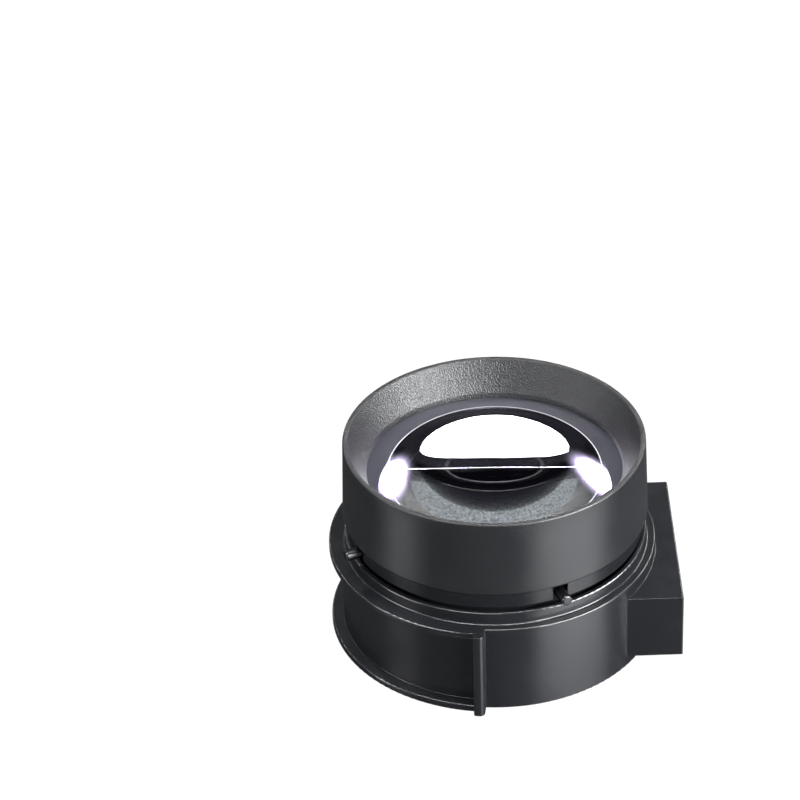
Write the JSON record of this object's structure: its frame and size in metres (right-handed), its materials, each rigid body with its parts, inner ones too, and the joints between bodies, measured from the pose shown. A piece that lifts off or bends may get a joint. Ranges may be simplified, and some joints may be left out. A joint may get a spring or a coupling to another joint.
{
  "type": "optical lens module",
  "caption": "Black eyepiece lens module: grained hood with a large coated lens over a drum housing with a side block",
  "frame": {"origin": "on the optical axis in the plane of the base face that the module stands on", "axes": "+Z is the optical axis and points out of the hood, +X points out of the side block, and the sloped back of the base faces +Y"},
  "size_m": [0.0535, 0.053, 0.0325],
  "materials": {
    "housing_plastic": "smooth semi-gloss black moulded plastic",
    "barrel_plastic": "glossy black moulded plastic",
    "hood_plastic": "satin black moulded plastic with a fine spark-eroded grain",
    "pin_steel": "blackened steel pins with polished domed ends",
    "eye_glass": "polished glass with a violet and green antireflection coating",
    "crown_glass": "polished crown glass, coated",
    "flint_glass": "polished flint glass, coated, cemented to the crown",
    "black_aluminium": "matt black anodised aluminium",
    "seal_rubber": "soft black rubber"
  },
  "bodies": {
    "root": {"housing": "housing_plastic", "lens_barrel": "barrel_plastic", "guide_pins": "pin_steel", "hood": "hood_plastic", "eye_lens": "eye_glass", "crown_lens": "crown_glass", "flint_lens": "flint_glass", "rear_spacer": "black_aluminium", "field_lens": "crown_glass", "retaining_ring": "black_aluminium", "seal_ring": "seal_rubber"}
  },
  "joints": []
}
